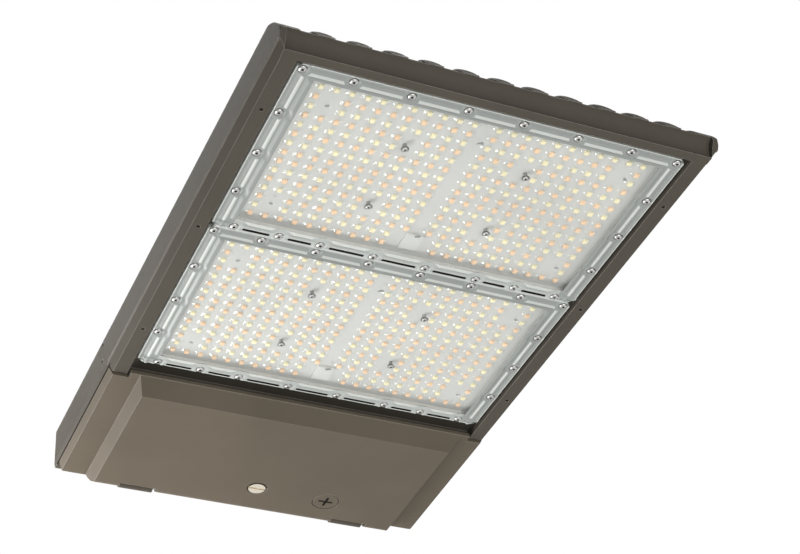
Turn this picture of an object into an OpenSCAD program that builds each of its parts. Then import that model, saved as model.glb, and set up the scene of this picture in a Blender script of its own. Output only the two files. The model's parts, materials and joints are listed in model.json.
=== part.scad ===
// Shoebox area light: die-cast housing with two lens modules and a hinged gear compartment door.
// +Z is up and +Y points out of the rear mounting face. The origin is the centre of the arm bolts.

/* [Housing] */
// Width over the side walls
body_w = 349.6; // [340:0.4:380]
// Rim face below the arm bolt centre
rim_drop = 16.5; // [15:0.5:19]
// Height of the rib crests above the rim face, at the nose
front_h = 42.5; // [40:0.5:50]
// Extra height of the roof at the rear
rear_rise = 2.5; // [1:0.5:4]
// Width of the flat face of a side rail
rail_w = 11.8; // [10:0.2:13]
// Width of the chamfer under a side wall
chamfer_w = 5.3; // [3:0.1:6]
// Height of the chamfer under a side wall
chamfer_h = 8; // [6:0.5:9]
// Front rim between the nose and the lens opening
front_rim = 8; // [7:0.5:12]
// Reach of the nose in front of the rim face
nose_reach = 5.6; // [4.5:0.1:7]
// Radius of the long curve of the nose
nose_r = 52.6; // [50:0.2:56]
// Thickness of the deck above the lens seat
deck_t = 6.5; // [6:0.5:9]
// Thickness of the compartment roof
roof_t = 4; // [3:0.5:5]
// Thickness of the rear wall
rear_wall = 7; // [5:0.5:9]
// Thickness of the ledge that carries the hinges
ledge_t = 5.5; // [4.5:0.5:7]
// Thickness of the bulkhead in front of the compartment
bulkhead_t = 6.5; // [5:0.5:8]
// Thickness of the compartment side walls
comp_wall = 12.8; // [11.5:0.1:14]

/* [Cooling ribs] */
// Number of ribs, with the two side walls
rib_count = 13; // [11:2:13]
// Width of a rib
rib_w = 16; // [14:0.5:17]
// Edge radius of a rib
rib_r = 6; // [4:0.5:6.5]
// Width of the core inside a rib
core_w = 9; // [7:0.5:9.5]

/* [Lens modules] */
// Gap between a lens and the side rails
side_gap = 2.7; // [2:0.1:4]
// Gap between the front lens and the front rim
front_gap = 3.5; // [2:0.5:5]
// Length of one lens
lens_len = 186.5; // [184:0.5:190]
// Gap between the two lenses
lens_gap = 0.3; // [0.3:0.1:1]
// Depth of the lens face behind the rim face
lens_recess = 2.5; // [2.3:0.1:4]
// Thickness of the lens flange
lens_t = 3.5; // [3:0.1:4.5]
// Height of the raised clear field
plateau_h = 1.7; // [1:0.1:2.2]
// Wall of the raised clear field
plateau_wall = 2.3; // [2:0.1:2.6]
// Depth of the pocket for the board and the gasket
pocket_h = 2.3; // [2:0.1:2.6]
// Corner screws from the front and side edges of a lens
screw_inset = 5.5; // [5:0.1:6]
// Pitch of the screws along the front edge
screw_pitch = 44.5; // [42:0.5:46]
// Radius of a lens screw
screw_r = 2; // [1.5:0.1:2.2]
// Width of the lens gasket
seal_w = 3.5; // [2.5:0.1:4]

/* [Light sources] */
// Pitch of the source columns
led_dx = 12.03; // [11.9:0.01:12.4]
// Pitch of the source rows
led_dy = 10.46; // [10:0.02:10.7]
// Number of source rows
led_rows = 15; // [11:2:15]
// Half width of the plain lane along the middle
led_lane = 9.75; // [9:0.25:10]
// Size of a source
led_size = 3; // [2.5:0.1:3.5]
// Height of a source
led_h = 0.6; // [0.5:0.1:0.7]
// Thickness of a source board
board_t = 1.6; // [1.4:0.1:1.7]

/* [Door] */
// Front edge of the door from the rear face
door_reach = 175.5; // [172:0.5:182]
// Rear edge of the door from the rear face
door_back = 12.6; // [12:0.2:14]
// Plate thickness of the door
door_t = 3; // [2.5:0.1:3.5]
// Depth of the flange face below the rim face
flange_drop = 2.1; // [1.8:0.1:2.5]
// Depth of the raised panel below the flange face
panel_drop = 10.4; // [10:0.2:12]
// Width of the flange beside the raised panel
flange_w = 22.1; // [20:0.1:24]
// Slope of the panel sides, across
panel_draft = 5.8; // [4:0.2:7]
// Length of the sloped front face
slope_len = 15.5; // [12:0.5:18]
// Gap at the seam between the door and the housing
seam_gap = 0.3; // [0.3:0.1:0.6]
// Height of the seam above the rim face
seam_h = 5; // [4.5:0.1:6]
// Gap between the rear lens and the door
strip_w = 12.6; // [8:0.2:14]
// Gap between the rails and the door flange
rail_end_gap = 2; // [1:0.5:3]

/* [Hinges and door hardware] */
// Hinge from the side wall
hinge_inset = 73.6; // [65:0.2:85]
// Hinge axis from the rear face
hinge_back = 18.5; // [18:0.1:19.5]
// Width of a hinge notch in the door
notch_w = 34.5; // [32:0.5:38]
// Width of a hinge lug
lug_w = 30.7; // [28:0.1:31]
// Radius of a hinge pin
pin_r = 2.5; // [2:0.1:3]
// Running clearance of a hinge pin
pin_fit = 0.05; // [0.03:0.01:0.1]
// Door screw from the rear face
door_screw_back = 53; // [50:0.5:56]
// Radius of the door screw shank
door_screw_r = 3; // [2.5:0.1:3.2]
// Radius of the door screw head
door_head_r = 7.75; // [7:0.05:8.5]
// Port plug from the middle
plug_x = 67.6; // [62:0.2:72]
// Port plug from the rear face
plug_back = 50; // [48:0.5:54]
// Radius of the port plug face
plug_r = 12.25; // [11.5:0.05:13]

/* [Driver] */
// Length of the driver
driver_l = 220; // [180:1:222]
// Width of the driver
driver_w = 76; // [60:1:78]
// Height of the driver
driver_h = 34; // [28:0.5:36]

/* [Arm mount] */
// Distance between the two arm bolts
bolt_pitch = 80; // [70:1:90]
// Radius of an arm bolt hole
bolt_hole_r = 4.5; // [4.2:0.1:5.5]
// Radius of the wire entry hole
entry_r = 8; // [6:0.5:9]
// Wire entry hole above the arm bolts
entry_z = 5; // [3:0.5:7]

/* [Hidden] */
$fn = 48;

bronze = [0.30, 0.27, 0.23];
steel = [0.75, 0.75, 0.74];
clear = [0.82, 0.84, 0.86, 0.45];
rubber = [0.12, 0.12, 0.12];
board_white = [0.92, 0.92, 0.90];

eps = 0.01;
over = 1;

// levels, from the rim face up
rim_z = -rim_drop;
lens_z = rim_z + lens_recess;
deck_z = lens_z + lens_t;
pocket_z = deck_z + pocket_h;
deck_top = deck_z + deck_t;
crest_z = rim_z + front_h;
roof_z = crest_z + rear_rise;
ceiling_z = roof_z - roof_t;
seam_z = rim_z + seam_h;
ledge_z = seam_z + ledge_t;
board_z = pocket_z - board_t;
led_z = board_z - led_h;

// widths
half_w = body_w / 2;
rail_out = half_w - chamfer_w;
rail_in = rail_out - rail_w;
seam_x = half_w - chamfer_w * (chamfer_h - seam_h) / chamfer_h;
comp_x = half_w - comp_wall;
rib_pitch = (body_w - rib_w) / (rib_count - 1);
lens_w = 2 * (rail_in - side_gap);
corner_x = lens_w / 2 - screw_inset + 0.5;

// lengths, from the rear face to the nose
lens_pitch = lens_len + lens_gap;
lens_back_y = -door_reach - strip_w;
lens_front_y = lens_back_y - lens_pitch - lens_len;
rim_in_y = lens_front_y - front_gap;
rim_out_y = rim_in_y - front_rim;
nose_y = rim_out_y - nose_reach;
flange_front_y = -door_reach + 7;
rail_end_y = flange_front_y - rail_end_gap;
mouth_front_y = flange_front_y + 4;
bulkhead_y = mouth_front_y - bulkhead_t;
mouth_back_y = -hinge_back - 13.5;
lens_row_y = [lens_front_y + screw_inset, lens_front_y + lens_pitch + screw_inset];

// nose curve, for the ribs and the side walls
nose_arc_z = crest_z - nose_r;
nose_arc_back = 46.4;
nose_arc_y = nose_y + nose_arc_back;
nose_break = 2.5;
tip_z = rim_z + 14.4;
lip_z = rim_z + 18;
lip_y = nose_y + 2.3;
bar_h = 8.5;
bar_crown = [10.7, 15];
bar_back = 22;
cove_r = 11;
cove_y = nose_y - 2.3;
cove_z = rim_z + 7.7;
cheek_t = 4.8;
cheek_round = 2;
roof_step = 0.2;
rib_slope = atan((rear_rise - roof_step) / (mouth_front_y - nose_arc_y));
rib_foot_z = pocket_z + 0.7;
groove_d = 0.4;

// rounding of the rear end, over the roof, under the seam and in plan
roof_round = 12;
foot_round = 6;
plan_round = 10;

// holes for fitted shields and brackets
shield_hole_x = half_w - 11;
shield_hole_y = [45.8, 183.7, 321.6] + [1, 1, 1] * lens_row_y[0];
shield_hole_r = 1.7;
shield_hole_depth = 8;
bracket_hole_y = -155;
bracket_hole_z = [2.6, 20.3];

// sealing ring and door gasket
ring_w = 3.5;
ring_z = rim_z + 3.5;
ring_front_y = mouth_front_y - ring_w;
gasket_w = 4.5;
gasket_side = (gasket_w - ring_w) / 2;
gasket_gap = 0.3;

// door levels
flange_z = rim_z - flange_drop;
panel_z = flange_z - panel_drop;
plate_z = flange_z + door_t;
door_half = seam_x - 0.3;
flange_half = rail_out - 0.4;
panel_foot = flange_half - flange_w;
tongue_half = rail_in - 2.2;
door_round = 10;
hinge_x = half_w - hinge_inset;
axis_y = -hinge_back;
lug_r = 5.7;
lug_gap = 0.3;
lug_side = 0.4;
axis_z = panel_z + lug_r + lug_gap;
ear_w = 6;
swing_r = seam_z - axis_z - seam_gap;

// door screw
screw_recess = 2.5;
head_gap = 1.5;
screw_seat_z = panel_z + screw_recess;
screw_boss_top = screw_seat_z + 3;
retainer_z = screw_boss_top + 0.3;
retainer_t = 0.8;
post_z = retainer_z + retainer_t + 0.4;
screw_grip = 4;
post_r = 8;
post_bore_r = door_screw_r + 0.6;

// port plug
plug_seat_z = panel_z + 2.5;
plug_seal_t = 0.8;
plug_shank_r = plug_r - 2;
plug_boss_top = plug_seat_z + 4.5;

// lens screws: [x, y in the module]
rear_row = lens_len - screw_inset - 3.3;
front_x = [screw_pitch * 0.5, screw_pitch * 1.5, screw_pitch * 2.5, corner_x];
rear_x = [22.25, 66.5, 100.6, corner_x - 12.8];
side_y = [0.2628, 0.5194, 0.7743] * rear_row;
inner_x = 49.3;
inner_y = [0.2966, 0.6871] * rear_row;
edge_screws = concat(
    [for (s = [-1, 1], x = front_x) [s * x, 0]],
    [for (s = [-1, 1], x = rear_x) [s * x, rear_row]],
    [for (s = [-1, 1], y = side_y) [s * corner_x, y]]
);
inner_screws = [for (s = [-1, 1], y = inner_y) [s * inner_x, y]];
head_r = 3.5;
head_h = 2.2;
small_r = 1.5;
small_head_r = 2.75;
small_head_h = 1.6;
small_seat = 1.2;
hole_fit = 0.1;
screw_depth = deck_t - 1;
small_depth = 3.5;

// pocket, gasket and board of a module, in the module's own y
pocket_x = corner_x - 3.2;
pocket_y = [3.2, rear_row - 3.2];
seal_fit = 0.5;
board_x = pocket_x - seal_w - seal_fit;
board_y = [pocket_y[0] + seal_w + seal_fit, pocket_y[1] - seal_w - seal_fit];
plateau_x = pocket_x - seal_w;
plateau_y = [pocket_y[0] + 3.7, rear_row - 6];
rear_scallop_r = 10.5;
side_scallop_r = 8.5;
lens_boss_r = 4.5;

// light sources
led_first = 15.1;
led_cols = floor((board_x - led_lane - led_size) / led_dx) + 1;
led_fit_rows = min(led_rows, floor((board_y[1] - led_first - led_size) / led_dy) + 1);
keep_half = [6, 9.5];
locator_x = 120.6;
locator_y = [0.1576, 0.7991] * rear_row;
keep_out = concat([for (y = inner_y) [inner_x, y]], [for (y = locator_y) [locator_x, y]]);
connector_w = 15;
connector_l = 18;
connector_h = 1.6;
connector_y = rear_row - 23.7;
connector_keep = [10.5, 12];

// wireway inside the middle rib
wire_r = 1.6;
wire_z = [crest_z - 15, crest_z - 20.2];
tunnel_r = 4.5;
tunnel_z = (wire_z[0] + wire_z[1]) / 2;
grommet_r = 8;
grommet_depth = 3;
wire_hole_r = 3;

// gear compartment
gear_gap = 6.5;
driver_y = mouth_front_y + gear_gap;
driver_tab = 12;
tab_t = 1.6;
gear_screw_r = 2;
gear_screw_head = 4;
gear_head_h = 2.4;
gear_screw_l = 3;
surge_l = 34;
surge_w = 48;
surge_h = 30;
surge_side = 6;
surge_x = comp_x - surge_side - surge_l / 2;
// a fifth of the spare width lies between the driver and the surge protector
driver_gap = (2 * comp_x - driver_l - 2 * driver_tab - surge_l - surge_side) / 5;
driver_x = surge_x - surge_l / 2 - driver_gap - driver_tab - driver_l / 2;
block_l = 42;
block_w = 22;
block_h = 16;
block_x = -60;
block_y = -45;
selector_l = 48;
selector_w = 1.0625 * (-plug_back - driver_y - driver_w);
selector_drop = 8;
selector_t = 1.6;
switch_l = 14;
switch_w = 8;
switch_h = 5;
switch_x = 9.5;
knob = 3;
knob_reach = 2.5;
knob_travel = 5;
knob_fit = 0.3;
ground_x = -100;
ground_y = -46;
vent_x = -3.5 * rib_pitch;
vent_z = deck_top + 14;
vent_cap_r = (rib_pitch - rib_w) / 2 - 0.4;
vent_r = vent_cap_r - 1.5;
bolt_pad = 4;
bolt_pad_r = 10;
entry_lip = 2;
input_lead_r = 2.5;

// ---- helpers -------------------------------------------------------------

function span(middle, half) = [middle - half, middle + half];
function shifted(range, d) = [range[0] + d, range[1] + d];

// extrudes a y-z outline along X, centred
module across(width) {
    translate([-width / 2, 0, 0]) rotate([90, 0, 90]) linear_extrude(width) children();
}

// extrudes an x-z outline along Y, from y0 to y1
module along(y0, y1) {
    translate([0, y1, 0]) rotate([90, 0, 0]) linear_extrude(y1 - y0) children();
}

module box(x, y, z) {
    translate([x[0], y[0], z[0]]) cube([x[1] - x[0], y[1] - y[0], z[1] - z[0]]);
}

module rod(x, y, z0, z1, r) {
    translate([x, y, z0]) cylinder(h = z1 - z0, r = r);
}

// what a rounded corner takes off, for a corner at the origin with the body at -x, -y
module corner_cut(r) {
    translate([-r, -r]) difference() {
        square(r + over);
        circle(r);
    }
}

// outline with its two upper corners rounded
module rounded_top(width, base, top, r) {
    difference() {
        translate([-width / 2, base]) square([width, top - base]);
        for (s = [0, 1]) mirror([s, 0]) translate([width / 2, top]) corner_cut(r);
    }
}

module ring_outline(x, y0, y1, w) {
    difference() {
        translate([-x, y0]) square([2 * x, y1 - y0]);
        translate([w - x, y0 + w]) square([2 * (x - w), y1 - y0 - 2 * w]);
    }
}

// a round lead through a list of points
module lead(points, r) {
    for (i = [0 : len(points) - 2]) {
        run = points[i + 1] - points[i];
        flat = norm([run[0], run[1]]);
        translate(points[i]) rotate([0, atan2(flat, run[2]), atan2(run[1], run[0])])
            cylinder(h = norm(run), r = r);
        if (i > 0) translate(points[i]) sphere(r);
    }
}

// ---- housing -------------------------------------------------------------

// side outline of the nose, y-z
module nose_profile(foot_z) {
    intersection() {
        union() {
            translate([nose_arc_y, nose_arc_z]) circle(nose_r, $fn = 96);
            translate([nose_arc_y, foot_z]) square([-nose_arc_y, roof_z - foot_z + over]);
        }
        polygon([
            [rim_out_y, rim_z], [rim_out_y - nose_break, rim_z + 6.5], [nose_y + 0.4, tip_z - 2.4],
            [nose_y, tip_z], [nose_y, roof_z + over], [0, roof_z + over], [0, foot_z], [rim_out_y, foot_z]
        ]);
    }
}

// plan of a part of the nose, with its front corners rounded
module nose_corners(x, w, r) {
    front_y = nose_y - 0.15;
    translate([0, 0, rim_z]) linear_extrude(front_h * 2) difference() {
        translate([x - w / 2, front_y]) square([w, mouth_front_y - front_y]);
        for (s = [0, 1]) translate([x, front_y]) mirror([s, 0]) mirror([0, 1])
            translate([w / 2, 0]) corner_cut(r);
    }
}

module rib(x, nose_round) {
    intersection() {
        translate([x, nose_arc_y, 0]) rotate([rib_slope, 0, 0])
            along(nose_y - nose_arc_y - over, mouth_front_y - nose_arc_y)
                rounded_top(rib_w, rib_foot_z - 2, crest_z, rib_r);
        across(body_w + over) nose_profile(rib_foot_z);
        nose_corners(x, rib_w, nose_round);
    }
}

module ribs() {
    last = rib_count - 1;
    for (i = [0 : last])
        rib(i * rib_pitch - half_w + rib_w / 2, i == 0 || i == last ? cheek_round : rib_w / 2 - eps);
}

// rail, chamfer and lower side wall, x-z
module rail_outline(base) {
    chamfer_x = rail_out + chamfer_w * (base - rim_z) / chamfer_h;
    polygon([[rail_in, base], [chamfer_x, base], [half_w, rim_z + chamfer_h], [rail_in, rim_z + chamfer_h]]);
}

// the rails meet the outer ribs above a fine groove
module side_walls() {
    intersection() {
        for (s = [0, 1]) mirror([s, 0, 0]) {
            along(nose_y, rail_end_y) rail_outline(rim_z);
            along(rail_end_y - over, mouth_front_y) rail_outline(seam_z);
        }
        across(body_w + over) nose_profile(rim_z);
        nose_corners(0, body_w, cheek_round);
    }
    for (s = [0, 1]) mirror([s, 0, 0])
        box([half_w - rib_w + groove_d, half_w - groove_d], [rim_out_y - nose_break, mouth_front_y - 3],
            [rim_z + chamfer_h - 1, rib_foot_z + 1]);
}

module front_bar() {
    across(body_w - 2 * cheek_t) polygon([
        [rim_in_y, rim_z], [rim_out_y, rim_z], [lip_y, lip_z], [lip_y + 1.9, lip_z + 2.2],
        [lip_y + bar_crown[0], lip_z + bar_h], [lip_y + bar_crown[1], lip_z + bar_h],
        [lip_y + bar_back, deck_top], [rim_in_y, deck_z]
    ]);
}

module cove() {
    across(body_w - 2 * cheek_t) intersection() {
        translate([cove_y, cove_z]) circle(cove_r);
        translate([nose_y - 2 * cove_r, rim_z - over]) square([4 * cove_r, lip_z - rim_z + over]);
    }
}

module deck() {
    box([-half_w + rib_w / 2, half_w - rib_w / 2], [rim_in_y - over, mouth_front_y], [deck_z, deck_top]);
}

// outside of the gear compartment
module compartment() {
    intersection() {
        along(bulkhead_y, 0) union() {
            rounded_top(body_w, rim_z + chamfer_h, roof_z, rib_r);
            polygon([
                [-seam_x, seam_z], [seam_x, seam_z], [half_w, rim_z + chamfer_h], [-half_w, rim_z + chamfer_h]
            ]);
        }
        across(body_w + over) difference() {
            translate([bulkhead_y, seam_z]) square([-bulkhead_y, roof_z - seam_z]);
            translate([0, roof_z]) corner_cut(roof_round);
            translate([0, seam_z]) mirror([0, 1]) corner_cut(foot_round);
        }
        translate([0, 0, seam_z]) linear_extrude(roof_z - seam_z) difference() {
            translate([-half_w, bulkhead_y]) square([body_w, -bulkhead_y]);
            for (s = [0, 1]) mirror([s, 0]) translate([half_w, 0]) corner_cut(plan_round);
        }
    }
}

module sealing_ring() {
    translate([0, 0, ring_z]) linear_extrude(seam_z - ring_z + over)
        ring_outline(comp_x + ring_w, ring_front_y, mouth_back_y + ring_w, ring_w);
}

module hinge_lugs() {
    for (s = [-1, 1]) {
        x0 = s * hinge_x - notch_w / 2 + lug_side;
        box([x0, x0 + lug_w], [axis_y - lug_r, axis_y + lug_r], [axis_z, seam_z + over]);
        translate([x0, axis_y, axis_z]) rotate([0, 90, 0]) cylinder(h = lug_w, r = lug_r);
    }
}

// posts that stand down from the compartment roof
module posts() {
    rod(0, -door_screw_back, post_z, ceiling_z + over, post_r);
    rod(ground_x, ground_y, ceiling_z - 9, ceiling_z + over, 6);
    for (p = selector_holes()) rod(p[0], p[1], ceiling_z - selector_drop, ceiling_z + over, 3.5);
    for (s = [-1, 1]) translate([s * bolt_pitch / 2, -rear_wall + over, 0])
        rotate([90, 0, 0]) cylinder(h = bolt_pad + over, r = bolt_pad_r);
}

module cavity() {
    box([-comp_x, comp_x], [mouth_front_y, mouth_back_y], [ring_z - over, ceiling_z]);
    box([-comp_x, comp_x], [mouth_front_y, -rear_wall], [ledge_z, ceiling_z]);
}

// weight-saving cores inside the ribs, behind the boards
module rib_cores() {
    difference() {
        for (i = [1 : rib_count - 2], y = lens_row_y) {
            x = i * rib_pitch - half_w + rib_w / 2;
            box([x - core_w / 2, x + core_w / 2], [y + board_y[0] + 4, y + board_y[1] - 4],
                [pocket_z - eps, crest_z - rib_r]);
        }
        for (y = lens_row_y, p = inner_screws) rod(p[0], y + p[1], pocket_z - over, crest_z, 4.5);
    }
}

module housing_holes() {
    for (y = lens_row_y) {
        box([-pocket_x, pocket_x], shifted(pocket_y, y), [deck_z - over, pocket_z]);
        for (p = edge_screws)
            rod(p[0], y + p[1], deck_z - over, deck_z + screw_depth, screw_r + hole_fit);
        for (p = inner_screws)
            rod(p[0], y + p[1], pocket_z - over, pocket_z + small_depth, small_r + hole_fit);
    }
    // dark channel between the rear lens and the door
    box([-rail_in, rail_in], [lens_back_y + 2, ring_front_y], [deck_z - over, deck_z + 3]);
    // wireway
    translate([0, lens_row_y[0] + connector_y, tunnel_z]) rotate([-90, 0, 0])
        cylinder(h = mouth_front_y - lens_row_y[0] - connector_y + over, r = tunnel_r);
    translate([0, mouth_front_y - grommet_depth, tunnel_z]) rotate([-90, 0, 0])
        cylinder(h = grommet_depth + over, r = grommet_r);
    // shield holes and bracket holes
    for (s = [-1, 1]) {
        for (y = shield_hole_y)
            rod(s * shield_hole_x, y, rim_z - over, rim_z + shield_hole_depth, shield_hole_r);
        for (z = bracket_hole_z)
            translate([s * (half_w - shield_hole_depth), bracket_hole_y, z]) rotate([0, s * 90, 0])
                cylinder(h = shield_hole_depth + over, r = shield_hole_r);
        translate([s * bolt_pitch / 2, over, 0]) rotate([90, 0, 0])
            cylinder(h = rear_wall + bolt_pad + 2 * over, r = bolt_hole_r);
    }
    translate([0, over, entry_z]) rotate([90, 0, 0]) cylinder(h = rear_wall + 2 * over, r = entry_r);
    translate([vent_x, mouth_front_y + over, vent_z]) rotate([90, 0, 0])
        cylinder(h = bulkhead_t + 2 * over, r = vent_r);
    // hinge pins
    for (s = [-1, 1]) translate([s * hinge_x - notch_w / 2, axis_y, axis_z]) rotate([0, 90, 0])
        cylinder(h = notch_w, r = pin_r + pin_fit);
    // screws in the posts and in the roof
    rod(0, -door_screw_back, post_z - over, post_z + screw_grip + 4, post_bore_r);
    rod(ground_x, ground_y, ceiling_z - 9 - over, ceiling_z - 1, gear_screw_r + hole_fit);
    for (p = selector_holes())
        rod(p[0], p[1], ceiling_z - selector_drop - over, ceiling_z - 2, small_r + hole_fit);
    for (p = concat(driver_holes(), [surge_hole()]))
        rod(p[0], p[1], ceiling_z - over, ceiling_z + gear_screw_l, gear_screw_r + hole_fit);
}

module housing() {
    color(bronze) difference() {
        union() {
            difference() {
                union() {
                    deck();
                    side_walls();
                    ribs();
                    front_bar();
                    compartment();
                    sealing_ring();
                }
                cove();
                cavity();
                rib_cores();
            }
            hinge_lugs();
            posts();
        }
        housing_holes();
    }
}

// ---- door ----------------------------------------------------------------

// raised panel as a solid, drawn in by t on every side
module panel_solid(t) {
    face = panel_z + t;
    top = plate_z + (t > 0 ? over : 0);
    lean = panel_draft / panel_drop;
    face_x = panel_foot - lean * (flange_z - face) - t;
    top_x = panel_foot + lean * (top - flange_z) - t;
    intersection() {
        along(-door_reach, -door_back) polygon([
            [-top_x, top], [-face_x, face], [face_x, face], [top_x, top]
        ]);
        across(body_w) difference() {
            polygon([
                [-door_reach + t * 1.5, flange_z + 0.6 + t / 2], [-door_reach + slope_len + t / 2, face],
                [-door_back - t, face], [-door_back - t, top], [-door_reach + t * 1.5, top]
            ]);
            translate([-door_back - t, face]) mirror([0, 1]) corner_cut(door_round - t);
        }
    }
}

// flange with its skirts
module flange() {
    box([-tongue_half, tongue_half], [-door_reach, flange_front_y + over], [flange_z, plate_z]);
    intersection() {
        along(flange_front_y, -door_back) for (s = [0, 1]) mirror([s, 0]) polygon([
            [-over, flange_z], [flange_half, flange_z], [door_half, seam_z - seam_gap],
            [door_half - door_t, seam_z - seam_gap], [flange_half - door_t, plate_z], [-over, plate_z]
        ]);
        across(body_w) union() {
            translate([flange_front_y, flange_z]) square([axis_y - flange_front_y, seam_z - flange_z]);
            intersection() {
                translate([axis_y, axis_z]) circle(swing_r);
                translate([axis_y, flange_z]) square([-door_back - axis_y, seam_z - flange_z]);
            }
        }
        translate([0, 0, flange_z]) linear_extrude(seam_z - flange_z) difference() {
            translate([-half_w, flange_front_y]) square([body_w, -door_back - flange_front_y]);
            for (s = [0, 1]) mirror([s, 0]) translate([door_half, -door_back]) corner_cut(6);
        }
    }
}

module door_inside() {
    difference() {
        panel_solid(door_t);
        // lands of the gasket
        for (y = [ring_front_y, mouth_back_y])
            box([-half_w, half_w], span(y + ring_w / 2, gasket_w / 2 + 0.5), [panel_z, plate_z]);
        rod(0, -door_screw_back, panel_z, screw_boss_top, 12);
        rod(plug_x, -plug_back, panel_z, plug_boss_top, plug_r + 3);
        for (s = [-1, 1])
            box(span(s * hinge_x, notch_w / 2 + ear_w), [axis_y - lug_r - lug_gap - door_t, 0],
                [panel_z, plate_z + over + eps]);
    }
}

module door() {
    color(bronze) difference() {
        union() {
            panel_solid(0);
            flange();
        }
        door_inside();
        for (s = [-1, 1]) {
            box(span(s * hinge_x, notch_w / 2), [axis_y - lug_r - lug_gap, 0], [panel_z - over, seam_z]);
            translate([s * hinge_x - notch_w / 2 - ear_w, axis_y, axis_z]) rotate([0, 90, 0])
                cylinder(h = notch_w + 2 * ear_w, r = pin_r);
        }
        rod(0, -door_screw_back, panel_z - over, screw_seat_z, door_head_r + head_gap);
        rod(0, -door_screw_back, panel_z, screw_boss_top + over, door_screw_r + pin_fit);
        rod(plug_x, -plug_back, panel_z - over, plug_seat_z, plug_r + 0.25);
        rod(plug_x, -plug_back, panel_z, plug_boss_top + over, plug_shank_r + 0.2);
    }
}

module hinge_pin(s) {
    color(steel) translate([s * hinge_x - notch_w / 2 - ear_w, axis_y, axis_z]) rotate([0, 90, 0])
        cylinder(h = notch_w + 2 * ear_w, r = pin_r);
}

module door_gasket() {
    top = ring_z - gasket_gap;
    x = comp_x + ring_w + gasket_side;
    color(rubber) translate([0, 0, plate_z]) linear_extrude(top - plate_z)
        ring_outline(x, ring_front_y - gasket_side, mouth_back_y + ring_w + gasket_side, gasket_w);
}

module door_screw() {
    color(steel) difference() {
        union() {
            rod(0, -door_screw_back, panel_z - 0.4, screw_seat_z, door_head_r);
            rod(0, -door_screw_back, screw_seat_z, post_z + screw_grip, door_screw_r);
        }
        box([-door_head_r, door_head_r] * 1.1, span(-door_screw_back, 0.8), [panel_z - over, panel_z + 1]);
    }
}

module door_screw_retainer() {
    color("dimgray") translate([0, -door_screw_back, retainer_z]) difference() {
        cylinder(h = retainer_t, r = door_screw_r + 2.3);
        translate([0, 0, -over]) cylinder(h = retainer_t + 2 * over, r = door_screw_r);
    }
}

module port_plug() {
    face_z = plug_seat_z - plug_seal_t;
    color(bronze) difference() {
        union() {
            rod(plug_x, -plug_back, panel_z, face_z, plug_r);
            rod(plug_x, -plug_back, face_z, plug_boss_top + 1.5, plug_shank_r);
        }
        for (a = [0, 90]) translate([plug_x, -plug_back, panel_z]) rotate([0, 0, a])
            translate([-7, -1.4, -over]) cube([14, 2.8, over + 1.1]);
        rod(plug_x, -plug_back, face_z + 1, plug_boss_top + 2, plug_shank_r - 2.5);
    }
}

module port_plug_seal() {
    color(rubber) translate([plug_x, -plug_back, plug_seat_z - plug_seal_t]) difference() {
        cylinder(h = plug_seal_t, r = plug_r);
        translate([0, 0, -over]) cylinder(h = plug_seal_t + 2 * over, r = plug_shank_r);
    }
}

// ---- lens modules --------------------------------------------------------

module plateau_outline() {
    difference() {
        translate([-plateau_x, plateau_y[0]]) square([2 * plateau_x, plateau_y[1] - plateau_y[0]]);
        for (s = [-1, 1]) {
            for (x = rear_x) translate([s * x, rear_row]) circle(rear_scallop_r);
            for (y = side_y) translate([s * corner_x, y]) circle(side_scallop_r);
        }
    }
}

module lens(y0) {
    edge = 4;
    cavity_z = lens_z - plateau_h + plateau_wall;
    cavity_x = plateau_x - 4;
    color(clear) translate([0, y0, 0]) difference() {
        union() {
            translate([0, -screw_inset, lens_z]) linear_extrude(lens_t) polygon([
                [-lens_w / 2, edge], [edge - lens_w / 2, 0], [lens_w / 2 - edge, 0], [lens_w / 2, edge],
                [lens_w / 2, lens_len - edge], [lens_w / 2 - edge, lens_len],
                [edge - lens_w / 2, lens_len], [-lens_w / 2, lens_len - edge]
            ]);
            translate([0, 0, lens_z - plateau_h]) linear_extrude(plateau_h + over) plateau_outline();
            for (p = inner_screws) rod(p[0], p[1], lens_z, board_z, lens_boss_r);
        }
        difference() {
            box([-cavity_x, cavity_x], [plateau_y[0] + 3.5, rear_row - 14], [cavity_z, deck_z + over]);
            for (p = inner_screws) rod(p[0], p[1], cavity_z - over, deck_z + 2 * over, lens_boss_r);
        }
        for (p = edge_screws) rod(p[0], p[1], lens_z - 3, deck_z + over, screw_r + 2 * hole_fit);
        for (p = inner_screws) {
            rod(p[0], p[1], lens_z - 3, board_z + over, small_r + 2 * hole_fit);
            rod(p[0], p[1], lens_z - 3, lens_z - plateau_h + small_seat, small_head_r + 0.7);
        }
    }
}

module lens_gasket(y0) {
    color(rubber) translate([0, y0, deck_z]) linear_extrude(pocket_h)
        ring_outline(pocket_x, pocket_y[0], pocket_y[1], seal_w);
}

module led_board(y0) {
    color(board_white) translate([0, y0, 0]) difference() {
        box([-board_x, board_x], board_y, [board_z, pocket_z]);
        for (p = inner_screws) rod(p[0], p[1], board_z - over, pocket_z + over, small_r + 2 * hole_fit);
        rod(0, connector_y, board_z - over, pocket_z + over, wire_hole_r);
    }
}

function near(x, y, p) = abs(abs(x) - p[0]) < keep_half[0] && abs(y - p[1]) < keep_half[1];
function blocked(x, y) =
    len([for (p = keep_out) if (near(x, y, p)) p]) > 0
    || (abs(x) < connector_keep[0] && y > connector_y - connector_keep[1]);
function is_warm(row) = row < 8 ? row % 2 == 1 : row % 2 == 0;

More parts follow.
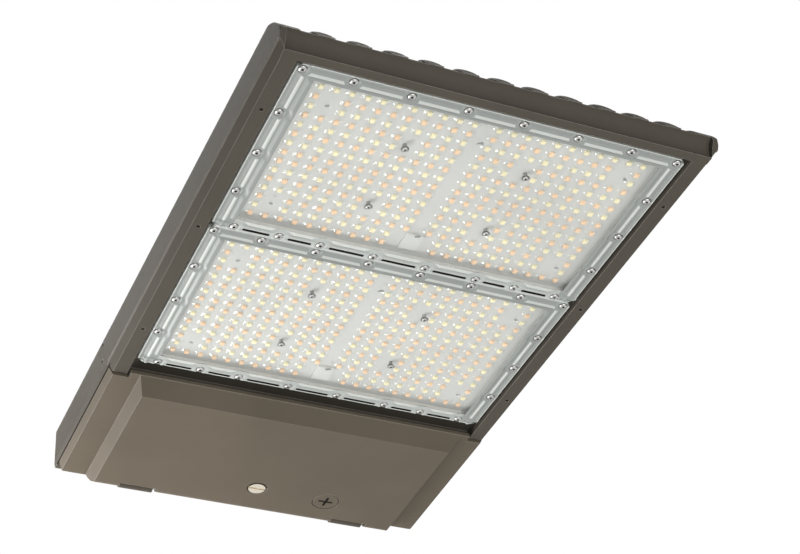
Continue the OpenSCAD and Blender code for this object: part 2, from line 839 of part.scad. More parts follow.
module leds(y0, warm) {
    color(warm ? [0.96, 0.82, 0.62] : [0.95, 0.92, 0.70])
        for (s = [-1, 1], col = [0 : led_cols - 1], row = [0 : led_fit_rows - 1]) {
            x = s * (led_lane + col * led_dx);
            y = led_first + row * led_dy;
            if (is_warm(row) == warm && !blocked(x, y))
                translate([x - led_size / 2, y0 + y - led_size / 2, led_z]) cube([led_size, led_size, led_h]);
        }
}

module lens_screws(y0) {
    color(steel) translate([0, y0, 0]) {
        for (p = edge_screws) difference() {
            union() {
                rod(p[0], p[1], lens_z - head_h, lens_z, head_r);
                rod(p[0], p[1], lens_z, deck_z + screw_depth - 0.5, screw_r);
            }
            rod(p[0], p[1], lens_z - head_h - over, lens_z - head_h + 1, 1.5);
        }
        seat = lens_z - plateau_h + small_seat;
        for (p = inner_screws) difference() {
            union() {
                rod(p[0], p[1], seat - small_head_h, seat, small_head_r);
                rod(p[0], p[1], seat, pocket_z + small_depth - 0.5, small_r);
            }
            rod(p[0], p[1], seat - small_head_h - over, seat - small_head_h + 0.7, 1.2);
        }
    }
}

module board_connector(y0) {
    color("whitesmoke") translate([0, y0 + connector_y, 0]) difference() {
        box(span(0, connector_w / 2), span(0, connector_l / 2), [board_z - connector_h, board_z]);
        rod(0, 0, board_z - connector_h + 0.8, board_z + over, wire_hole_r);
    }
}

module led_harness(i) {
    y0 = lens_row_y[i] + connector_y;
    color("gray") lead([
        [0, y0, board_z - connector_h + 0.8], [0, y0, wire_z[i]], [0, driver_y, wire_z[i]]
    ], wire_r);
}

// ---- gear ----------------------------------------------------------------

function driver_holes() = [
    for (s = [-1, 1], t = [-1, 1])
        [driver_x + s * (driver_l + driver_tab) / 2, driver_y + driver_w / 2 + t * (driver_w / 2 - 10)]
];
function surge_hole() = [surge_x, driver_y + surge_w + driver_tab / 2];
function selector_holes() = [for (s = [-1, 1]) [plug_x + s * (selector_l / 2 - 4.5), -plug_back]];

module tab_hole(p) {
    rod(p[0], p[1], ceiling_z - tab_t - over, ceiling_z + over, gear_screw_r + 0.3);
}

module driver() {
    y = [driver_y, driver_y + driver_w];
    color([0.82, 0.82, 0.80]) difference() {
        union() {
            box(span(driver_x, driver_l / 2), y, [ceiling_z - driver_h, ceiling_z]);
            box(span(driver_x, driver_l / 2 + driver_tab), y, [ceiling_z - tab_t, ceiling_z]);
        }
        for (p = driver_holes()) tab_hole(p);
    }
}

module gear_screw(p, z, grip) {
    rod(p[0], p[1], z - gear_head_h, z, gear_screw_head);
    rod(p[0], p[1], z, z + grip, gear_screw_r);
}

module driver_screws() {
    color(steel) for (p = driver_holes()) gear_screw(p, ceiling_z - tab_t, tab_t + gear_screw_l - 0.5);
}

module surge_protector() {
    tab_y = driver_y + surge_w;
    color([0.2, 0.2, 0.22]) difference() {
        union() {
            box(span(surge_x, surge_l / 2), [driver_y, driver_y + surge_w], [ceiling_z - surge_h, ceiling_z]);
            box(span(surge_x, 8), [tab_y - over, tab_y + driver_tab], [ceiling_z - tab_t, ceiling_z]);
        }
        tab_hole(surge_hole());
    }
}

module surge_screw() {
    color(steel) gear_screw(surge_hole(), ceiling_z - tab_t, tab_t + gear_screw_l - 0.5);
}

function block_poles() = [for (i = [-1 : 1]) [block_x + i * 13, block_y]];

module terminal_block() {
    color([0.90, 0.89, 0.84]) difference() {
        box(span(block_x, block_l / 2), span(block_y, block_w / 2), [ceiling_z - block_h, ceiling_z]);
        for (p = block_poles()) rod(p[0], p[1], ceiling_z - block_h - over, ceiling_z - block_h + 5, 3.2);
    }
}

module terminal_screws() {
    color("goldenrod") for (p = block_poles()) difference() {
        rod(p[0], p[1], ceiling_z - block_h + 2, ceiling_z - block_h + 5, 3);
        box(span(p[0], 3), span(p[1], 0.5), [ceiling_z - block_h + 1, ceiling_z - block_h + 2.8]);
    }
}

selector_z = ceiling_z - selector_drop - selector_t;

module selector_board() {
    color([0.10, 0.35, 0.20]) difference() {
        union() {
            box(span(plug_x, selector_l / 2), span(-plug_back, selector_w / 2),
                [selector_z, selector_z + selector_t]);
            for (s = [-1, 1])
                box(span(plug_x + s * switch_x, switch_w / 2), span(-plug_back, switch_l / 2),
                    [selector_z - switch_h, selector_z + over]);
        }
        for (s = [-1, 1])
            box(span(plug_x + s * switch_x, knob / 2 + knob_fit),
                span(-plug_back, (knob_travel + knob) / 2 + knob_fit),
                [selector_z - switch_h - over, selector_z - 1]);
        for (p = selector_holes())
            rod(p[0], p[1], selector_z - over, selector_z + selector_t + over, small_r + 0.2);
    }
}

module selector_screws() {
    color(steel) for (p = selector_holes()) {
        rod(p[0], p[1], selector_z - small_head_h, selector_z, small_head_r);
        rod(p[0], p[1], selector_z, ceiling_z - 3, small_r);
    }
}

// the slider rests at the front end of its travel
module slider(s) {
    y = -plug_back - knob_travel / 2;
    box(span(plug_x + s * switch_x, knob / 2), span(y, knob / 2),
        [selector_z - switch_h - knob_reach, selector_z - 1 - knob_fit]);
}

module input_leads() {
    z = ceiling_z - block_h / 2;
    turn_y = -rear_wall - 13;
    color("black") lead([
        [0, -over, entry_z], [0, turn_y, entry_z], [0, turn_y, z], [block_x, turn_y, z],
        [block_x, block_y + block_w / 2, z]
    ], input_lead_r);
}

module line_leads() {
    z = ceiling_z - block_h / 2;
    color("black")
        lead([[block_x, block_y - block_w / 2, z], [block_x, driver_y + driver_w, z]], input_lead_r);
}

module surge_leads() {
    y = driver_y + driver_w + 8;
    x0 = surge_x - surge_l / 2 + 4;
    x1 = driver_x + driver_l / 2 - 12;
    z = ceiling_z - surge_h / 2;
    color("dimgray") lead([
        [x0, driver_y + surge_w, z], [x0, y, z], [x1, y, z], [x1, driver_y + driver_w, z]
    ], 1.8);
}

module control_leads() {
    x = plug_x;
    y = -plug_back - selector_w / 2;
    color("purple") lead([
        [x, y, selector_z + selector_t / 2], [x, y - 3, selector_z + selector_t / 2],
        [x, driver_y + driver_w + 2.5, ceiling_z - 20], [x, driver_y + driver_w, ceiling_z - 20]
    ], 0.8);
}

module wireway_grommet() {
    color(rubber) difference() {
        translate([0, mouth_front_y - grommet_depth, tunnel_z]) rotate([-90, 0, 0])
            cylinder(h = grommet_depth + 1, r = grommet_r);
        for (z = wire_z) translate([0, mouth_front_y - grommet_depth - over, z]) rotate([-90, 0, 0])
            cylinder(h = grommet_depth + 3 * over, r = wire_r);
    }
}

module wire_entry_grommet() {
    color(rubber) translate([0, 0, entry_z]) rotate([90, 0, 0]) difference() {
        union() {
            cylinder(h = rear_wall, r = entry_r);
            translate([0, 0, rear_wall]) cylinder(h = entry_lip, r = entry_r + 3);
        }
        translate([0, 0, -over]) cylinder(h = rear_wall + entry_lip + 2 * over, r = input_lead_r);
    }
}

// breather in the bulkhead, in the groove between two ribs
module vent() {
    color("black") translate([vent_x, mouth_front_y, vent_z]) rotate([90, 0, 0]) {
        cylinder(h = bulkhead_t, r = vent_r);
        translate([0, 0, bulkhead_t]) cylinder(h = 3, r = vent_cap_r);
    }
}

module ground_screw() {
    color("green") gear_screw([ground_x, ground_y], ceiling_z - 9, 7);
}

housing();
door();
hinge_pin(-1);  // hinge_pin_left
hinge_pin(1);  // hinge_pin_right
door_screw();
door_screw_retainer();
door_gasket();
port_plug();
port_plug_seal();
lens(lens_row_y[0]);  // lens_front
lens(lens_row_y[1]);  // lens_rear
lens_gasket(lens_row_y[0]);  // lens_gasket_front
lens_gasket(lens_row_y[1]);  // lens_gasket_rear
led_board(lens_row_y[0]);  // led_board_front
led_board(lens_row_y[1]);  // led_board_rear
leds(lens_row_y[0], true);  // leds_warm_front
leds(lens_row_y[0], false);  // leds_cool_front
leds(lens_row_y[1], true);  // leds_warm_rear
leds(lens_row_y[1], false);  // leds_cool_rear
lens_screws(lens_row_y[0]);  // lens_screws_front
lens_screws(lens_row_y[1]);  // lens_screws_rear
board_connector(lens_row_y[0]);  // board_connector_front
board_connector(lens_row_y[1]);  // board_connector_rear
led_harness(0);  // led_harness_front
led_harness(1);  // led_harness_rear
driver();
driver_screws();
surge_protector();
surge_screw();
terminal_block();
terminal_screws();
selector_board();
selector_screws();
color("white") slider(-1);  // wattage_slider
color("white") slider(1);  // colour_slider
input_leads();
line_leads();
surge_leads();
control_leads();
wireway_grommet();
wire_entry_grommet();
vent();
ground_screw();
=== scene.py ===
"""Shoebox area light: looks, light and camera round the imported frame.

Forms are given in millimetres and turned into metres by MM. Lamps, floor and camera are placed in metres.
"""

import json
import math

import bmesh
import bpy
import numpy as np
from mathutils import Euler, Matrix, Vector


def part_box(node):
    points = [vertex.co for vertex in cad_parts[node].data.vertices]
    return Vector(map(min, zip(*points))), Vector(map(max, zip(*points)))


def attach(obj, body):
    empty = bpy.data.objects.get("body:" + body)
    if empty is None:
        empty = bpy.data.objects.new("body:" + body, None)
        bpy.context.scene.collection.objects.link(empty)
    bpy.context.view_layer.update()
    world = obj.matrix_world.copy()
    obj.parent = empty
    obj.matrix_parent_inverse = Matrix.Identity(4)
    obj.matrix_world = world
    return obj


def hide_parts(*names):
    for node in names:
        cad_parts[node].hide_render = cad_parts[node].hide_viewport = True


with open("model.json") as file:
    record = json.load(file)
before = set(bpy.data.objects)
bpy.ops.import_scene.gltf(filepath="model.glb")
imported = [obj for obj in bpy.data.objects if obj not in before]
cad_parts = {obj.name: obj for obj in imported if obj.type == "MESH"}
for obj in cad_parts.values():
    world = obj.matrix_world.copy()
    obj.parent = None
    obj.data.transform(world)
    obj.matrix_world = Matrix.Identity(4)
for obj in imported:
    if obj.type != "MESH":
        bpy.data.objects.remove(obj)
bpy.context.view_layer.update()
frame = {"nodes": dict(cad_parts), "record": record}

MM = 0.001
nodes = frame["nodes"]


# ---- material parts ------------------------------------------------------

BEVEL_SAMPLES = 6
NOISE_LOW, NOISE_HIGH = 0.3, 0.7
SLOW_NOISE, GRAIN_STRENGTH, ROUGHNESS_SPREAD = 14.0, 0.5, 0.05
GLOSS_SCALE, FINE_DETAIL = 0.1, 2.0
# the painted edge highlight: cosines between plain and rounded normal where it starts and is full, and its
# share there
HIGHLIGHT_FROM, HIGHLIGHT_FULL, HIGHLIGHT_SHARE = 0.985, 0.90, 0.75
EDGE_R = 0.0006
# colour of the painted edge highlight
EDGE_HIGHLIGHT_COLOR = (0.34, 0.32, 0.29)
HOUSING_BRONZE = (0.078, 0.069, 0.056)
# the door's bronze is a lighter copy of the housing's: painted sheen
DOOR_SHEEN_BRONZE = (0.106, 0.088, 0.065)
GLOSS_TINT, CLEAR_TINT = (0.96, 0.97, 0.97), (0.990, 0.994, 0.991)
WAVE_SCALE, WAVE_DEPTH, GLOSS_POWER = 300.0, 0.0003, 5.0


def principled(name, color, roughness, metallic=0.0, specular=0.5):
    """A new material and its Principled shader."""
    mat = bpy.data.materials.new(name)
    mat.use_nodes = True
    shader = mat.node_tree.nodes["Principled BSDF"]
    shader.inputs["Base Color"].default_value = (*color, 1)
    shader.inputs["Roughness"].default_value = roughness
    shader.inputs["Metallic"].default_value = metallic
    shader.inputs["Specular IOR Level"].default_value = specular
    mat.diffuse_color = (*color, 1)
    return mat, shader


def noise(mat, scale, detail=3.0, stretch=(1, 1, 1)):
    """A noise texture in the object's own coordinates."""
    tree = mat.node_tree
    place = tree.nodes.new("ShaderNodeTexCoord")
    mapping = tree.nodes.new("ShaderNodeMapping")
    mapping.inputs["Scale"].default_value = stretch
    tex = tree.nodes.new("ShaderNodeTexNoise")
    tex.inputs["Scale"].default_value = scale
    tex.inputs["Detail"].default_value = detail
    tree.links.new(place.outputs["Object"], mapping.inputs["Vector"])
    tree.links.new(mapping.outputs["Vector"], tex.inputs["Vector"])
    return tex.outputs["Fac"]


def vary_color(mat, shader, source, dark, light):
    """Let the colour run between two tones as the source says."""
    ramp = mat.node_tree.nodes.new("ShaderNodeValToRGB")
    ramp.color_ramp.elements[0].position = NOISE_LOW
    ramp.color_ramp.elements[1].position = NOISE_HIGH
    ramp.color_ramp.elements[0].color = (*dark, 1)
    ramp.color_ramp.elements[1].color = (*light, 1)
    mat.node_tree.links.new(source, ramp.inputs["Fac"])
    mat.node_tree.links.new(ramp.outputs["Color"], shader.inputs["Base Color"])


def vary_roughness(mat, shader, source, low, high):
    """Let the roughness run between two values as the source says."""
    span = mat.node_tree.nodes.new("ShaderNodeMapRange")
    span.inputs["To Min"].default_value = low
    span.inputs["To Max"].default_value = high
    mat.node_tree.links.new(source, span.inputs["Value"])
    mat.node_tree.links.new(span.outputs["Result"], shader.inputs["Roughness"])


def rounded_normal(tree, radius):
    """The surface normal as if edges were rounded by that radius, in metres."""
    rounding = tree.nodes.new("ShaderNodeBevel")
    rounding.samples = BEVEL_SAMPLES
    rounding.inputs["Radius"].default_value = radius
    return rounding.outputs["Normal"]


def bump(mat, shader, source, strength, depth, edge=0.0):
    """Fine relief, which lies over rounded edges where their radius is given."""
    tree = mat.node_tree
    node = tree.nodes.new("ShaderNodeBump")
    node.inputs["Strength"].default_value = strength
    node.inputs["Distance"].default_value = depth
    if edge:
        tree.links.new(rounded_normal(tree, edge), node.inputs["Normal"])
    tree.links.new(source, node.inputs["Height"])
    tree.links.new(node.outputs["Normal"], shader.inputs["Normal"])


def painted_edge_highlight(mat, shader, color, radius):
    """A painted highlight along outer edges: where the rounded normal leans away from the plain one, the
    base colour turns towards a light bronze.
    """
    tree = mat.node_tree
    place = tree.nodes.new("ShaderNodeNewGeometry")
    along = tree.nodes.new("ShaderNodeVectorMath")
    along.operation = "DOT_PRODUCT"
    span = tree.nodes.new("ShaderNodeMapRange")
    span.inputs["From Min"].default_value = HIGHLIGHT_FROM
    span.inputs["From Max"].default_value = HIGHLIGHT_FULL
    span.inputs["To Max"].default_value = HIGHLIGHT_SHARE
    mix = tree.nodes.new("ShaderNodeMix")
    mix.data_type = "RGBA"
    mix.inputs["B"].default_value = (*color, 1)
    under = shader.inputs["Base Color"].links[0].from_socket
    tree.links.new(rounded_normal(tree, radius), along.inputs[0])
    tree.links.new(place.outputs["Normal"], along.inputs[1])
    tree.links.new(along.outputs["Value"], span.inputs["Value"])
    tree.links.new(span.outputs["Result"], mix.inputs["Factor"])
    tree.links.new(under, mix.inputs["A"])
    tree.links.new(mix.outputs["Result"], shader.inputs["Base Color"])


def mix_shaders(tree, share, under, over, end):
    """Lay one shader over another in that share, and send both to the end."""
    mix = tree.nodes.new("ShaderNodeMixShader")
    tree.links.new(share, mix.inputs["Fac"])
    tree.links.new(under, mix.inputs[1])
    tree.links.new(over, mix.inputs[2])
    tree.links.new(mix.outputs["Shader"], end)


def shade(color, factor):
    """The colour, lighter or darker by that factor."""
    return tuple(c * factor for c in color)


def textured(name, color, roughness, grain, depth, metallic=0.0, specular=0.5, spread=0.06,
             stretch=(1, 1, 1), edge=0.0):
    """A material with fine grain in its bump and slow variation in its colour and gloss, and a painted
    highlight along its edges where an edge radius is given.
    """
    mat, shader = principled(name, color, roughness, metallic, specular)
    vary_color(mat, shader, noise(mat, SLOW_NOISE), shade(color, 1 - spread), shade(color, 1 + spread))
    low, high = roughness - ROUGHNESS_SPREAD, roughness + ROUGHNESS_SPREAD
    vary_roughness(mat, shader, noise(mat, grain * GLOSS_SCALE), low, high)
    bump(mat, shader, noise(mat, grain, FINE_DETAIL, stretch), GRAIN_STRENGTH, depth, edge)
    if edge:
        painted_edge_highlight(mat, shader, EDGE_HIGHLIGHT_COLOR, edge)
    return mat


def clear_plastic(name, roughness, wave, gloss, edge_gloss):
    """Thin clear moulded plastic.

    What lies behind it shows, under a gloss that grows towards grazing angles.
    """
    mat, shader = principled(name, GLOSS_TINT, roughness, metallic=1.0)
    bump(mat, shader, noise(mat, WAVE_SCALE, FINE_DETAIL), wave, WAVE_DEPTH)
    tree = mat.node_tree
    see_through = tree.nodes.new("ShaderNodeBsdfTransparent")
    see_through.inputs["Color"].default_value = (*CLEAR_TINT, 1)
    slant = tree.nodes.new("ShaderNodeLayerWeight")
    steep = tree.nodes.new("ShaderNodeMath")
    steep.operation = "POWER"
    steep.inputs[1].default_value = GLOSS_POWER
    share = tree.nodes.new("ShaderNodeMath")
    share.operation = "MULTIPLY_ADD"
    share.inputs[1].default_value = edge_gloss - gloss
    share.inputs[2].default_value = gloss
    tree.links.new(slant.outputs["Facing"], steep.inputs[0])
    tree.links.new(steep.outputs["Value"], share.inputs[0])
    mix_shaders(tree, share.outputs["Value"], see_through.outputs["BSDF"], shader.outputs["BSDF"],
                tree.nodes["Material Output"].inputs["Surface"])
    return mat


# ---- materials -----------------------------------------------------------

# the bronze paints carry a painted highlight along their edges, of radius EDGE_R
PAINT = dict(roughness=0.52, grain=2200.0, depth=0.00006, edge=EDGE_R)
CLOUDY = dict(roughness=0.42, grain=320.0, depth=0.0002, specular=0.3)
METAL = dict(grain=900.0, depth=0.00003, metallic=1.0)
LEAD = dict(roughness=0.45, grain=1200.0, depth=0.00004)
PHOSPHOR = dict(roughness=0.45, grain=1800.0, depth=0.00002, spread=0.08)
LOOKS = {
    "bronze_paint": dict(PAINT, color=HOUSING_BRONZE, specular=0.04),
    # painted sheen: a lighter copy of the bronze paint
    "door_sheen_paint": dict(PAINT, color=DOOR_SHEEN_BRONZE, specular=0.10),
    "frosted_plastic": dict(CLOUDY, color=(0.28, 0.295, 0.28), spread=0.05),
    "milky_plastic": dict(CLOUDY, color=(0.54, 0.56, 0.53), spread=0.04),
    "pale_plastic": dict(CLOUDY, color=(0.42, 0.44, 0.42), spread=0.05),
    # near black, painted into slots, drive holes and gaps as their shade
    "painted_shade": dict(color=(0.010, 0.009, 0.008), roughness=0.8, grain=900.0, depth=0.00003, specular=0.03),
    "steel": dict(METAL, color=(0.42, 0.415, 0.40), roughness=0.36, spread=0.1),
    "nickel": dict(METAL, color=(0.72, 0.66, 0.55), roughness=0.26, grain=700.0, stretch=(1, 9, 1)),
    "spring_steel": dict(METAL, color=(0.12, 0.12, 0.13), roughness=0.35, depth=0.00002),
    "brass_screw": dict(METAL, color=(0.62, 0.42, 0.16), roughness=0.30),
    "green_screw": dict(METAL, color=(0.03, 0.24, 0.06), roughness=0.32, metallic=0.6),
    "silicone": dict(color=(0.025, 0.025, 0.026), roughness=0.62, grain=1400.0, depth=0.00005),
    "board": dict(color=(0.61, 0.61, 0.59), roughness=0.42, grain=600.0, depth=0.00002, spread=0.03),
    "green_board": dict(color=(0.02, 0.16, 0.06), roughness=0.34, grain=700.0, depth=0.00003),
    "warm_source": dict(PHOSPHOR, color=(0.95, 0.66, 0.42)),
    "cool_source": dict(PHOSPHOR, color=(0.95, 0.86, 0.56)),
    "white_plastic": dict(color=(0.65, 0.65, 0.625), roughness=0.38, grain=900.0, depth=0.00003),
    "black_plastic": dict(color=(0.03, 0.03, 0.032), roughness=0.40, grain=1100.0, depth=0.00004),
    "driver_case": dict(color=(0.66, 0.66, 0.64), roughness=0.36, grain=1500.0, depth=0.00004, spread=0.04),
    "grey_lead": dict(LEAD, color=(0.30, 0.30, 0.31)),
    "black_lead": dict(LEAD, color=(0.02, 0.02, 0.02)),
    "violet_lead": dict(LEAD, color=(0.20, 0.05, 0.28)),
}
CLEAR_LOOKS = {
    "clear_plastic": dict(roughness=0.12, wave=0.25, gloss=0.035, edge_gloss=1.0),
    "clear_dome": dict(roughness=0.08, wave=0.10, gloss=0.065, edge_gloss=0.35),
}
mats = {name: textured(name, **look) for name, look in LOOKS.items()}
mats.update({name: clear_plastic(name, **look) for name, look in CLEAR_LOOKS.items()})

node_slot = {s["node"]: s["material_slot"] for s in frame["record"]["subparts"]}
for name, obj in nodes.items():
    obj.data.materials.clear()
    # door and plug take the lighter copy of the bronze paint, as painted sheen
    obj.data.materials.append(mats["door_sheen_paint" if name in ("door", "port_plug") else node_slot[name]])


# ---- pieces --------------------------------------------------------------
# A part is (verts, faces), with its points in metres and its faces as lists of their numbers.

SMOOTH_ANGLE = math.radians(32)
LOBES, LOBE_DEPTH = 6, 0.13


def new_object(name, data):
    """A new object in the scene."""
    obj = bpy.data.objects.new(name, data)
    bpy.context.scene.collection.objects.link(obj)
    return obj


def new_piece(name, part, body, slot, replaced=(), dark=None, look=None):
    """A piece of the object, in its slot's look or another.

    dark is (faces in one copy, how many of them at its start are painted near black as shade).
    """
    verts, faces = part
    mesh = bpy.data.meshes.new(name)
    mesh.from_pydata([tuple(v) for v in verts], [], [tuple(f) for f in faces])
    mesh.validate()
    mesh.update()
    obj = new_object(name, mesh)
    mesh.materials.append(mats[look or slot])
    mesh.polygons.foreach_set("use_smooth", [True] * len(mesh.polygons))
    mesh.set_sharp_from_angle(angle=SMOOTH_ANGLE)
    # faces of a hollow are painted near black as its shade
    if dark:
        mesh.materials.append(mats["painted_shade"])
        for i, face in enumerate(mesh.polygons):
            face.material_index = int(i % dark[0] < dark[1])
    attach(obj, body)
    if replaced:
        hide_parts(*replaced)


def joined(parts):
    """Several parts as one."""
    all_verts, all_faces = [], []
    for verts, faces in parts:
        base = len(all_verts)
        all_verts += verts
        all_faces += [[i + base for i in face] for face in faces]
    return all_verts, all_faces


def repeated(part, places):
    """Copies of one part, moved to each place and joined."""
    verts, faces = part
    return joined(([(x + px, y + py, z + pz) for x, y, z in verts], faces) for px, py, pz in places)


def walls(first, second):
    """The faces between two closed loops of as many points, both given as lists of numbers."""
    faces = []
    for i in range(len(first)):
        j = (i + 1) % len(first)
        faces.append((first[i], first[j], second[j], second[i]))
    return faces


def prism(start, end):
    """A closed part between two outlines of as many points."""
    count = len(start)
    first = list(range(count))
    last = list(range(count, 2 * count))
    return start + end, [first[::-1], last] + walls(first, last)


def at_height(outline, z):
    """An outline of (x, y) points in mm as points in metres, all at that height."""
    return [(x * MM, y * MM, z * MM) for x, y in outline]


def grid_faces(rows, cols):
    """The faces of a grid of points that are numbered row by row, and the numbers round its rim."""
    faces = []
    for r in range(rows - 1):
        for c in range(cols - 1):
            a = r * cols + c
            faces.append((a, a + cols, a + cols + 1, a + 1))
    rim = list(range(cols)) + [r * cols + cols - 1 for r in range(1, rows)]
    rim += [(rows - 1) * cols + c for c in range(cols - 2, -1, -1)]
    rim += [r * cols for r in range(rows - 2, 0, -1)]
    return faces, rim


def lathe(profile, steps, lobed=0):
    """A closed part turned about Z, from (radius, z) points in mm that start and end on the axis.

    Points off the axis among the first ones, as many as lobed says, take the lobes of a driver.
    """
    verts, faces, rings = [], [], []
    for place, (radius, z) in enumerate(profile):
        if radius == 0:
            rings.append([len(verts)])
            verts.append((0, 0, z * MM))
        else:
            rings.append(list(range(len(verts), len(verts) + steps)))
            for i in range(steps):
                turn = 2 * math.pi * i / steps
                lobe = LOBE_DEPTH * math.cos(LOBES * turn) if place < lobed else 0
                reach = radius * MM * (1 + lobe)
                verts.append((reach * math.cos(turn), reach * math.sin(turn), z * MM))
    for low, high in zip(rings, rings[1:]):
        for i in range(steps):
            j = (i + 1) % steps
            a, b = low[i % len(low)], low[j % len(low)]
            c, d = high[j % len(high)], high[i % len(high)]
            faces.append(list(dict.fromkeys((a, b, c, d))))
    return verts, faces


# ---- lens modules: measures ----------------------------------------------
# Places on a module are (x, y) in mm: x from its middle line, y from its front row of screws.
# What is listed for the right half has its mirror image on the left, except for the dents of LANE_MARKS.

LENS_W, LENS_L = 310.0, 186.5
INSET = 5.5
CORNER_CUT = 4.0
FLANGE_T = 3.5
PLATEAU = 1.7
HOLLOW_FLOOR = 0.6
WELD = 0.02
LENS_SMOOTH_ANGLE = math.radians(50)
FINE_STEP, QUICK_STEP = 0.9, 2.0

ROW_END = 177.7
EDGE_X = 150.0
FRONT_X = (22.25, 66.75, 111.25, EDGE_X)
REAR_X = (22.25, 66.5, 100.6, 137.2)
SIDE_Y = (46.7, 92.3, 137.6)
INNER = ((49.3, 52.7), (49.3, 122.1))
LOCATORS = ((120.6, 28.0), (120.6, 142.0))
LANE_MARKS = ((1.0, 27.5), (1.0, 141.5))

# the raised field: its edges, the slanted line that narrows it at the rear, its scallops round screws
FIELD_X, FIELD_FRONT, FIELD_REAR, FIELD_SLOPE = 143.0, 6.9, 171.7, 1.8
SLANT_X, SLANT_Y, SLANT_ACROSS, SLANT_ALONG, SLANT_ROOM = 148.6, 140.0, 0.96, 0.28, 2.0
REAR_SCALLOP, SIDE_SCALLOP = 10.5, 8.5
SCALLOPS = [(x, ROW_END, REAR_SCALLOP) for x in REAR_X] + [(EDGE_X, y, SIDE_SCALLOP) for y in SIDE_Y]

# ridges and grooves of the flange, which stop short of each screw
RIDGE_X, RIDGE_Y, REAR_RIDGE_Y = 147.3, 3.4, ROW_END - 3.2
RIDGE_H, RIDGE_W = 1.1, 1.1
GROOVE_X, GROOVE_Y, SLOT_Y = 151.8, -2.2, ROW_END + 1.3
GROOVE_D, GROOVE_W = 0.8, 0.8
STOP_R, STOP_SLOPE = 6.0, 2.0

# seats and raised rims of the screws, and the dents of locators and lane marks
SEAT, SEAT_R, SEAT_SLOPE = 0.9, 3.9, 0.6
SEAT_RIM_H, SEAT_RIM_R, SEAT_RIM_SLOPE, SEAT_ROOM = 0.25, 5.6, 0.8, 6.2
INNER_SEAT, INNER_SEAT_R = 1.9, 3.2
INNER_RIM_H, INNER_RIM_R, INNER_RIM_SLOPE, INNER_ROOM = 0.3, 4.2, 0.9, 4.8
DENT_D, DENT_R, DENT_SLOPE = 0.9, 2.2, 1.2

# finishes of the lens face, some of which paint highlight and shade: the numbers of their looks, and where
# each of them lies
LENS_LOOKS = ("clear_plastic", "frosted_plastic", "milky_plastic", "painted_shade", "pale_plastic",
              "white_plastic")
CLEAR, FROSTED, MILKY, DARK, PALE, WHITE = range(len(LENS_LOOKS))
CLEAR_X, CLEAR_Y = 138.9, 167.4
FLANGE_LAP = 0.4
# half width of the rear slot, which is painted near black as shade, and its room round screws; radius of
# the frosted marks
SLOT_HALF, SLOT_STOP = 1.4, 7.5
MARK_R = 1.6
# where the lighter milky look paints the highlight of the flange's outer edges and ridges
BRIGHT_EDGE_X, BRIGHT_EDGE_Y = 1.0, 0.9
BRIGHT_STOP_R = 6.8
BRIGHT_FRONT_HALF, BRIGHT_SIDE_HALF = 1.3, 1.2
BRIGHT_SIDE_FROM, BRIGHT_SIDE_TO = 3, ROW_END - 6
# upright walls of the hollow near the board are painted white against the shade they lie in
WALL_TILT, WALL_LAP = 0.05, 1.0

# the pale wall round each board: its thickness, its play, and how far it reaches into the lens
SKIRT_T, SKIRT_PLAY, SKIRT_SUNK = 0.3, 0.05, 0.2

# grid and size of the light sources, size of their optics, and the room that other parts take from the grid
LED_DX, LED_DY, LED_LANE, LED_FIRST = 12.03, 10.46, 9.75, 15.1
LED_COLS, LED_ROWS, LED_SWAP_ROW = 11, 15, 8
SOURCE_W, SOURCE_H = 3.8, 2.0
SOURCE_ROUND, SOURCE_ROUND_STEPS, SOURCE_FULLNESS = 0.9, 3, 0.55
DOME_R, DOME_H, DOME_BASE = 5.1, 1.7, 0.3
DOME_STEPS, DOME_RINGS = 16, 5
CONNECTOR_Y, CONNECTOR_ROOM_X, CONNECTOR_ROOM_Y = 154.0, 10.5, 12
FREE_X, FREE_Y = 6, 9.5

# lens screws and washers in mm, shares of a head's height or radius, and counts of steps and points
OUTER_SCREW = dict(head_r=3.2, head_h=1.8, shank_r=2.0, drive_r=1.05)
INNER_SCREW = dict(head_r=2.3, head_h=1.5, shank_r=1.4, drive_r=0.8)
INNER_SHORTER = 1.0
DRIVE_LIP, DRIVE_BEVEL = 0.08, 0.2
DRIVE_DEPTH, DRIVE_FLOOR, CROWN_H, HEAD_FOOT = 0.6, 0.85, 0.72, 0.97
SCREW_STEPS, HEAD_RINGS, DRIVE_POINTS = 24, 5, 3
WASHER_R, WASHER_T, WASHER_FLAT_R = 3.0, 0.5, 2.0
WASHER_BEVEL_R, WASHER_BEVEL_H = 0.1, 0.2


def both_sides(points):
    """Places of the right half, with their mirror images before them."""
    return [(s * x, y) for s in (-1, 1) for x, y in points]


right_screws = [(x, 0.0) for x in FRONT_X] + [(x, ROW_END) for x in REAR_X] + [(EDGE_X, y) for y in SIDE_Y]


def lens_frame(which):
    """Where a lens lies, in mm: y of its front row of screws, and z of its flange's face."""
    low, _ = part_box("lens_" + which)
    return low[1] / MM + INSET, low[2] / MM + PLATEAU


def places_on(which, points, z):
    """Points of a module, all at that height, as places in metres in the shared frame."""
    row_y, _ = lens_frame(which)
    return [(x * MM, (row_y + y) * MM, z * MM) for x, y in points]


def board_edges(which):
    """Left, right, front and rear edge of a module's board, as places on the module."""
    row_y, _ = lens_frame(which)
    low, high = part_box("led_board_" + which)
    return low[0] / MM, high[0] / MM, low[1] / MM - row_y, high[1] / MM - row_y


def corners(edges, out=0.0):
    """Corners of a rectangle from its edges, moved outwards by that much."""
    left, right, near, far = edges
    return [(left - out, near - out), (right + out, near - out), (right + out, far + out),
            (left - out, far + out)]


# ---- lens plates ---------------------------------------------------------

def rise(distance, width):
    """0 outside, 1 inside, with a smooth step of that width."""
    t = np.clip(distance / width + 0.5, 0, 1)
    return t * t * (3 - 2 * t)


def bell(gap, width):
    """1 on a line, and less with the gap to it."""
    return np.exp(-(gap / width) ** 2)


